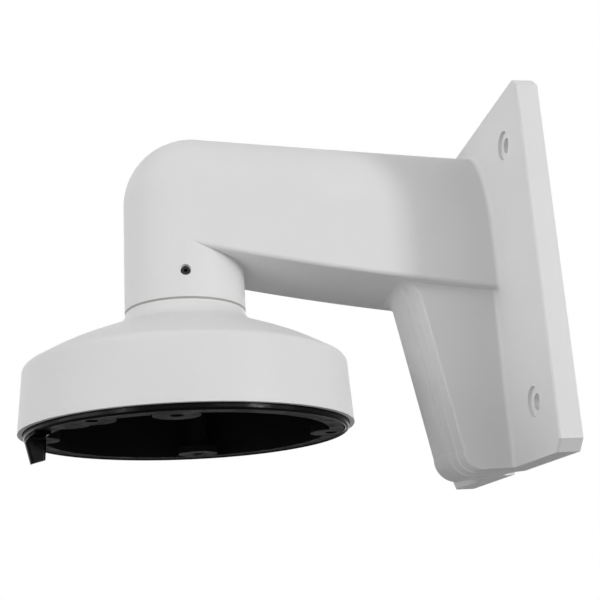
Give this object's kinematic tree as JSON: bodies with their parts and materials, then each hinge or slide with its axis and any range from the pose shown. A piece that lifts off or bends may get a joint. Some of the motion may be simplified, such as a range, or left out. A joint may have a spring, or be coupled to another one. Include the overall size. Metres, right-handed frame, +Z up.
{
  "type": "camera wall bracket",
  "caption": "White cast arm on a wall plate with a stepped gusset, carrying a round bell cap with a black adapter ring inside for a dome camera.",
  "frame": {"origin": "middle of the four wall holes, on the wall face of the plate", "axes": "+X across the wall, +Y into the wall, +Z up; the arm runs along -Y"},
  "size_m": [0.138, 0.2106, 0.1552],
  "materials": {
    "white_coat": "satin",
    "black_plastic": "matte",
    "black_rubber": "gloss",
    "seal_rubber": "satin",
    "dark_steel": "dark",
    "bright_steel": "plated"
  },
  "bodies": {
    "root": {"arm_casting": "white_coat", "cap_casting": "white_coat", "camera_adapter": "black_plastic", "rim_strip": "black_rubber", "neck_oring": "seal_rubber", "lock_screw": "dark_steel", "adapter_screws": "bright_steel"}
  },
  "joints": []
}
